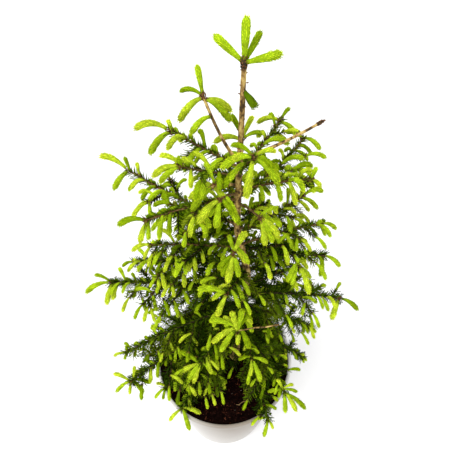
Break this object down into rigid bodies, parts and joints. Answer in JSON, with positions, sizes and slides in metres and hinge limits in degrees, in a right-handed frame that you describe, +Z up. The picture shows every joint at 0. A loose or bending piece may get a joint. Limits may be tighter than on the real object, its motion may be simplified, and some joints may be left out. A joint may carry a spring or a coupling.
{
  "type": "potted norway spruce",
  "caption": "Young conifer with an open conical crown, tapering boughs and fresh hanging spring shoots, standing in a round tapered pot filled with dark soil.",
  "frame": {"origin": "centre of the pot's flat underside", "axes": "+Z up along the trunk, +X to the right of the front view, -Y towards the front view"},
  "size_m": [0.4773, 0.3539, 0.9859],
  "materials": {
    "pot": "smooth pale plastic with a faint sheen",
    "soil": "dark crumbly peat with reddish fibres",
    "bark": "thin tan bark with dark nodes",
    "foliage": "dark stiff needles of earlier years",
    "fresh_shoots": "bright soft needles of the new shoots"
  },
  "bodies": {
    "root": {"pot": "pot", "soil": "soil", "trunk": "bark", "foliage_top": "fresh_shoots", "foliage_sprig": "foliage", "bough_top_left_back": "bark", "foliage_top_left_back": "foliage", "bough_top_right_back": "bark", "foliage_top_right_back": "foliage", "bough_top_left": "bark", "foliage_top_left": "foliage", "foliage_top_right": "foliage", "foliage_top_front_left": "foliage", "foliage_top_front": "foliage", "foliage_top_back": "foliage", "foliage_high_front_left": "foliage", "foliage_high_right": "foliage", "foliage_high_front": "foliage", "bough_high_right_back": "bark", "foliage_high_right_back": "foliage", "bough_high_left_front": "bark", "foliage_high_left_front": "foliage", "foliage_high_front_right": "foliage", "foliage_high_back": "foliage", "bough_high_left": "bark", "foliage_high_left": "foliage", "foliage_mid_right_back": "foliage", "foliage_mid_front": "foliage", "bough_mid_right": "bark", "foliage_mid_right": "foliage", "foliage_mid_left_high": "foliage", "foliage_mid_left_back": "foliage", "bough_mid_right_front": "bark", "foliage_mid_right_front": "foliage", "bough_mid_back": "bark", "foliage_mid_back": "foliage", "bough_mid_left": "bark", "foliage_mid_left": "foliage", "foliage_mid_front_left": "foliage", "foliage_low_front": "foliage", "bough_low_left": "bark", "foliage_low_left": "foliage", "bough_low_right": "bark", "foliage_low_right": "foliage", "foliage_low_right_back": "foliage", "foliage_low_left_back": "foliage", "bough_bottom_left": "bark", "foliage_bottom_left": "foliage", "foliage_bottom_right": "foliage", "foliage_bottom_front_left": "foliage", "bough_bottom_left_front": "bark", "foliage_bottom_left_front": "foliage", "foliage_bottom_front": "foliage", "foliage_bottom_left_back": "foliage", "foliage_bottom_right_back": "foliage", "foliage_foot_front_right": "foliage", "foliage_foot_front_left": "foliage", "foliage_foot_front": "foliage", "foliage_foot_right": "foliage", "foliage_foot_left": "foliage"}
  },
  "joints": []
}
